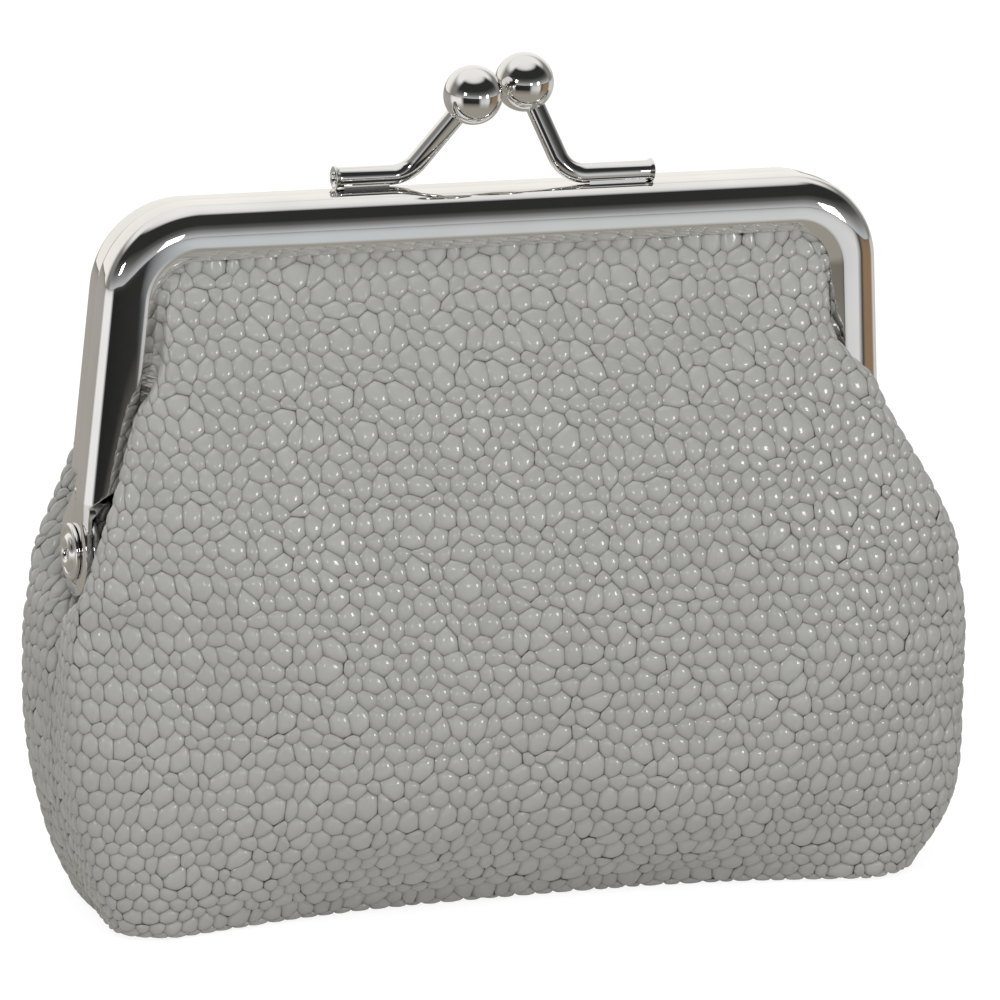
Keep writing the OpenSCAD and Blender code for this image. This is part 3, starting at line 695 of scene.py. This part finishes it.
def pouch_grid(t, half_cols, wall_rows, floor_rows):
    """A sheet that lies t inside the leather's outside, as rows of points (x, y forwards, z).

    It runs from the middle of the base outwards, round the foot and up the wall to its edge.
    """
    wall = np.linspace(FOOT_R + t, MOUTH_Z - 0.1, wall_rows)
    heights = np.concatenate([wall, np.linspace(MOUTH_Z + 0.9, TOP_Z - 1.4, 4)])
    shell = smooth_rows(np.array([plan_row(z, t, half_cols) for z in heights]), 3)
    rows = [np.concatenate([r, np.full((len(r), 1), z)], 1) for r, z in zip(shell, heights)]
    foot = rows[0]
    middle = foot[:, :2].mean(0)[0]
    under = []
    for k in range(1, 5):
        a = math.radians(90 * k / 4)
        ring = foot.copy()
        pull = FOOT_R * (1 - math.cos(a))
        ring[:, 0] = middle + (foot[:, 0] - middle) * (1 - pull / FOOT_HALF)
        ring[:, 1] = np.maximum(0.02, foot[:, 1] - pull)
        ring[:, 2] = t + FOOT_R * (1 - math.sin(a))
        under.append(ring)
    last = under[-1]
    seam = last.copy()
    seam[:, 0] = np.linspace(last[0, 0], last[-1, 0], len(seam))
    seam[:, 1] = 0.01
    for k in range(1, floor_rows + 1):
        under.append(last + (seam - last) * (k / floor_rows))
    return np.array(under[::-1] + rows)


def grid_normals(points):
    n = np.cross(np.gradient(points, axis=1), np.gradient(points, axis=0))
    return n / np.maximum(np.linalg.norm(n, axis=2, keepdims=True), 1e-9)


# ---------------------------------------------------------------- leather
# Two panels of pearl-grained leather: rounded domes, close together, with painted shade in the
# creases between them. They are wedged in the channels above and sewn along their sides and base.
# Each dome is a small patch of mesh, laid on the panel by a formula, because no primitive has this form.


def leather_finish(at):
    groove = at.node("Attribute", {"attribute_name": "groove"}, "Fac")
    tone = at.node("Attribute", {"attribute_name": "tone"}, "Fac")
    low = at.node("Attribute", {"attribute_name": "shade"}, "Fac")
    grain = at.node("TexNoise", Vector=at, Scale=5200.0, Detail=3.0)
    broad = at.node("TexNoise", Vector=at, Scale=70.0, Detail=2.0)
    dome = (tone * 0.6 + broad * 0.4).mix((0.275, 0.274, 0.260), (0.320, 0.319, 0.304))
    patchy = at.node("TexNoise", Vector=at, Scale=420.0, Detail=2.0).step(0.42, 0.66)
    # Painted shade in the creases, darker in patches and towards the floor.
    painted_shade = (low * 0.55 + patchy * 0.5).clamp().mix((0.190, 0.189, 0.180), (0.085, 0.078, 0.068))
    colour = ((groove - 0.80) * 5.0).clamp().mix(dome, painted_shade)
    bump = at.node("Bump", Strength=0.12, Distance=0.00012, Height=grain)
    return {"Base_Color": colour, "Roughness": groove * 0.2 + grain * 0.08 + 0.36, "Normal": bump}


leather = surface("pearl_leather", leather_finish, Coat_Weight=1.0, Coat_Roughness=0.09, IOR=1.45)

# Each dome is rings of 12 points round its middle, as (share of its width, share of its height).
RINGS, ROUND = [(1.0, 0.0), (0.87, 0.46), (0.64, 0.80), (0.36, 0.95)], 12
DOME, DOME_DEEP, ROW_APART, SPAN, JITTER = 2.0, 0.36, 0.9, 190, 0.33
FIRST_ROW, LAST_ROW, BACKING_ROWS, BACKING_IN, MEET_Y = 7, -3, slice(7, 23), 0.7, 0.012


class Skin:
    """A grid of rows as a surface that takes (distance from the middle, distance up) in millimetres."""

    def __init__(self, points):
        self.points, self.normals = points, grid_normals(points)
        self.middle = points.shape[1] // 2
        self.half = self.middle - HIDDEN
        steps = np.linalg.norm(np.diff(points, axis=1), axis=2)
        self.right = steps[:, HIDDEN:self.middle].mean(1)
        self.left = steps[:, self.middle:-HIDDEN].mean(1)
        self.tuck = max(0.3, float(np.median(steps[:, :HIDDEN])))
        climb = np.linalg.norm(np.diff(points[:, self.middle], axis=0), axis=1)
        self.rise = np.concatenate([[0], np.cumsum(climb)])

    def row_of(self, v):
        return np.interp(v, self.rise, np.arange(len(self.rise)))

    def step_at(self, u, row):
        """The spacing of the surface's columns on the side where u is, at a row."""
        at = np.arange(len(self.rise))
        return np.where(u < 0, np.interp(row, at, self.right), np.interp(row, at, self.left))

    def place(self, u, v, lift):
        """Points on the surface, moved lift along its normal."""
        row = self.row_of(v)
        step = self.step_at(u, row)
        beyond = np.clip((np.abs(u) / step - self.half) * step / self.tuck, 0, self.middle - self.half)
        col = self.middle + np.clip(u / step, -self.half, self.half) + np.sign(u) * beyond
        r = np.minimum(np.floor(row).astype(int), self.points.shape[0] - 2)
        c = np.minimum(np.floor(col).astype(int), self.points.shape[1] - 2)
        fr, fc = (row - r)[..., None], (col - c)[..., None]

        def between(grid):
            near = grid[r, c] * (1 - fr) + grid[r + 1, c] * fr
            return near * (1 - fc) + (grid[r, c + 1] * (1 - fr) + grid[r + 1, c + 1] * fr) * fc

        return between(self.points) + between(self.normals) * lift[..., None]

    def reach(self, u, v):
        """How far the visible part goes from the middle, on the side where u is."""
        return self.half * self.step_at(u, self.row_of(v))


def dome_outlines(seed, low, high):
    """Outlines of the domes, and their sizes, on a jittered lattice of spots.

    An outline has a corner between each three neighbouring spots, and a point along each side.
    """
    rng = np.random.default_rng(seed)
    tall = DOME * ROW_APART
    rows = int((high - low) / tall) + 3
    cols = int(SPAN / DOME)
    j, i = np.meshgrid(np.arange(rows), np.arange(cols), indexing="ij")
    spot = np.stack([(i - cols / 2 + 0.5 * (j % 2)) * DOME, low + (j - 1) * tall], -1)
    spot = spot + rng.uniform(-JITTER, JITTER, spot.shape) * DOME
    spot[..., 0] /= 1 + 0.09 * (np.abs(spot[..., 0]) / 55) ** 2
    size = rng.uniform(0.0, 1.0, (rows, cols)) ** 1.5
    pull = 1.75 - 1.35 * size

    def corner(*at):
        total = sum(pull[a, b] for a, b in at)
        return sum(spot[a, b] * pull[a, b][..., None] for a, b in at) / total[..., None]

    jj, ii = j[1:-1, 1:-1], i[1:-1, 1:-1]
    odd = jj % 2
    ring = [(jj, ii + 1), (jj + 1, ii + odd), (jj + 1, ii + odd - 1)]
    ring += [(jj, ii - 1), (jj - 1, ii + odd - 1), (jj - 1, ii + odd)]
    middle = (jj, ii)
    corners = [corner(middle, ring[k], ring[(k + 1) % 6]) for k in range(6)]
    edge = []
    for k in range(6):
        joint = (corners[k] + corners[(k + 1) % 6]) / 2
        edge += [corners[k], joint + 0.06 * (joint - spot[middle])]
    return np.stack(edge, 2), size[middle]


def dome_faces():
    """Faces of one dome, as numbers of its points: rings of quads, then a cap of triangles."""
    top = ROUND * (len(RINGS) - 2)
    quads = [
        (r + m, r + (m + 1) % ROUND, r + ROUND + (m + 1) % ROUND, r + ROUND + m)
        for r in range(0, top, ROUND) for m in range(ROUND)
    ]
    fans = []
    for m in range(0, ROUND, 2):
        low_a, low_b, low_c = top + m, top + m + 1, top + (m + 2) % ROUND
        top_a, top_b = top + ROUND + 1 + m, top + ROUND + (m + 3) % ROUND
        fans += [(low_a, low_b, top_a), (low_b, low_c, top_a), (low_c, top_b, top_a)]
        fans += [(top_a, top_b, ROUND * len(RINGS))]
    return np.array(quads), np.array(fans)


def pearl_sheet(skin, seed, low, high):
    """All domes of a panel: points, quads, triangles, and for each point its crease shade and tone."""
    edge, size = dome_outlines(seed, low, high)
    centre = edge.mean(2)
    out = edge - centre[:, :, None]
    wide = np.linalg.norm(out, axis=3).mean(2)
    uv, deep, groove = [], [], []
    for share, height in RINGS:
        around = centre[:, :, None] + out * share
        if share < 1:
            length = np.linalg.norm(around - centre[:, :, None], axis=3, keepdims=True)
            round_off = min(1, (1 - share) * 1.8)
            even = (around - centre[:, :, None]) / np.maximum(length, 1e-6) * (wide[:, :, None, None] * share)
            around = centre[:, :, None] + (around - centre[:, :, None]) * (1 - round_off) + even * round_off
        sunk = (-DOME_DEEP * (1 - height) * np.minimum(1.25, wide / 1.1))[..., None]
        uv.append(around.reshape(-1, ROUND, 2))
        deep.append(np.broadcast_to(sunk, around.shape[:3]).reshape(-1, ROUND))
        groove.append(np.full(deep[-1].shape, 1 - height))
    flat_top = np.zeros((size.size, 1))
    uv = np.concatenate(uv + [centre.reshape(-1, 1, 2)], 1)
    deep = np.concatenate(deep + [flat_top], 1)
    groove = np.concatenate(groove + [flat_top], 1)
    tone = np.repeat(size.reshape(-1, 1), uv.shape[1], 1)
    keep = (np.abs(uv[..., 0]) < skin.reach(uv[..., 0], uv[..., 1]) + 1.8).any(1)
    keep &= (uv[..., 1] > low).any(1) & (uv[..., 1] < high).any(1)
    uv, deep, groove, tone = uv[keep], deep[keep], groove[keep], tone[keep]
    uv[..., 1] = np.clip(uv[..., 1], low, high)
    base = np.arange(len(uv))[:, None, None] * uv.shape[1]
    quads, fans = [(faces[None] + base).reshape(-1, faces.shape[1]) for faces in dome_faces()]
    return skin.place(uv[..., 0], uv[..., 1], deep).reshape(-1, 3), quads, fans, groove.ravel(), tone.ravel()


def number_layer(made, name, values):
    layer = made.data.attributes.new(name, "FLOAT", "POINT")
    layer.data.foreach_set("value", np.clip(values, 0, 1).astype(np.float32).ravel())


def soft_folds(grid, phase):
    """Shallow folds in the wall, which fade out at the mouth, at the seams and on the floor."""
    z = grid[..., 2]
    steps = np.linalg.norm(np.diff(grid[..., :2], axis=1), axis=2)
    run = np.concatenate([np.zeros((len(grid), 1)), np.cumsum(steps, axis=1)], 1)
    run -= run[:, run.shape[1] // 2][:, None]
    fold = 0.5 * np.sin(run * 0.13 + 0.05 * z + phase) * np.sin(z * 0.11 + run * 0.03)
    fold = fold + 0.3 * np.sin(run * 0.22 - z * 0.13)
    calm = np.clip((MOUTH_Z - 1 - z) / 16, 0, 1) * np.clip((z - 1.5) / 8, 0, 1)
    calm = calm * np.clip((np.abs(grid[..., 1]) - 0.3) / 2.0, 0, 1)
    return grid + grid_normals(grid) * (fold * calm)[..., None]


def join_domes():
    bpy.ops.mesh.remove_doubles(threshold=2 * WELD)
    bpy.ops.mesh.delete_loose()


def leather_panel(name, side, seed, node):
    grid = soft_folds(pouch_grid(0, half_cols=80, wall_rows=119, floor_rows=10), seed)
    skin = Skin(grid)
    points, quads, fans, groove, tone = pearl_sheet(skin, seed, skin.rise[FIRST_ROW], skin.rise[LAST_ROW])
    # Its plain edges inside the channel and the side seams, and a backing along the floor.
    back = grid - grid_normals(grid) * BACKING_IN
    points, quads = [points], [quads]
    count = len(groove)
    for sheet in (back[::2, :HIDDEN + 1], back[::2, -HIDDEN - 1:], back[BACKING_ROWS, ::2]):
        r, c = sheet.shape[:2]
        index = np.arange(r * c).reshape(r, c) + count
        corners = [index[:-1, :-1], index[:-1, 1:], index[1:, 1:], index[1:, :-1]]
        quads.append(np.stack(corners, -1).reshape(-1, 4))
        points.append(sheet.reshape(-1, 3))
        count += r * c
    points, quads = np.concatenate(points), np.concatenate(quads)
    extra = count - len(groove)
    points[:, 1] = np.maximum(points[:, 1], MEET_Y) * -side
    points[:, 2] = np.maximum(points[:, 2], 0)
    if side < 0:
        quads, fans = quads[:, ::-1], fans[:, ::-1]
    mesh = bpy.data.meshes.new(name)
    mesh.from_pydata(points, [], quads.tolist() + fans.tolist())
    mesh.update()
    made = bpy.data.objects.new(name, mesh)
    scene.collection.objects.link(made)
    # The plain edges and the backing are painted in full crease shade, as a shadow gap.
    number_layer(made, "groove", np.concatenate([groove, np.full(extra, 1.0)]))
    number_layer(made, "tone", np.concatenate([tone, np.full(extra, 0.5)]))
    # Painted shade, darker towards the floor: full below 7 mm, none above 17 mm.
    number_layer(made, "shade", (17 - points[:, 2]) / 10)
    put(made)
    in_edit(made, join_domes)
    finish_mesh(made, name, 65)
    made.data.materials.append(leather)
    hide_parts(node)
    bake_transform(made)


leather_panel("front_leather", 1, seed=11, node="front_panel")
leather_panel("rear_leather", -1, seed=29, node="rear_panel")

# ---------------------------------------------------------------- lining
# Woven cotton in tan, glued inside each leather panel and held in the channel with it. Each sheet
# is a grid, laid out as the leather is but LINING_IN further in.
LINING_IN, LINING_MEET_Y = 1.7, 0.02


def cloth_finish(at):
    weave = at.node("TexWave", {"bands_direction": "X"}, "Fac", Vector=at, Scale=900.0)
    cross = at.node("TexWave", {"bands_direction": "Z"}, "Fac", Vector=at, Scale=900.0)
    thread = weave * cross
    return {
        "Base_Color": thread.mix((0.24, 0.17, 0.10), (0.36, 0.26, 0.16)),
        "Normal": at.node("Bump", Strength=0.3, Distance=0.0001, Height=thread),
    }


cloth = surface("tan_lining", cloth_finish, Roughness=0.9)
for half, side in (("front", 1), ("rear", -1)):
    points = pouch_grid(LINING_IN, half_cols=60, wall_rows=130, floor_rows=8)
    points[..., 1] = np.maximum(points[..., 1], LINING_MEET_Y) * -side
    rows, cols = points.shape[:2]
    bpy.ops.mesh.primitive_grid_add(x_subdivisions=cols - 1, y_subdivisions=rows - 1, size=1)
    made = bpy.context.object
    made.data.vertices.foreach_set("co", points.astype(np.float32).ravel())
    made.data.update()
    if side < 0:
        in_edit(made, bpy.ops.mesh.flip_normals)
    put(made)
    finish_mesh(made, half + "_cloth", 60)
    made.data.materials.append(cloth)
    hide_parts(half + "_lining")
    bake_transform(made)

# ---------------------------------------------------------------- paper cords
# Twisted kraft cord, pushed into each channel behind the leather and the lining to wedge them. It
# keeps the CAD's shape and lies hidden.


def paper_finish(at):
    twist = at.node("TexWave", {"bands_direction": "DIAGONAL"}, "Fac", Vector=at, Scale=260.0)
    return {"Base_Color": twist.mix((0.42, 0.30, 0.17), (0.56, 0.42, 0.26))}


kraft = surface("kraft_paper", paper_finish, Roughness=0.85)
for half in ("front", "rear"):
    welded(half + "_paper_cord", half + "_cord", kraft, half + "_half", 40)
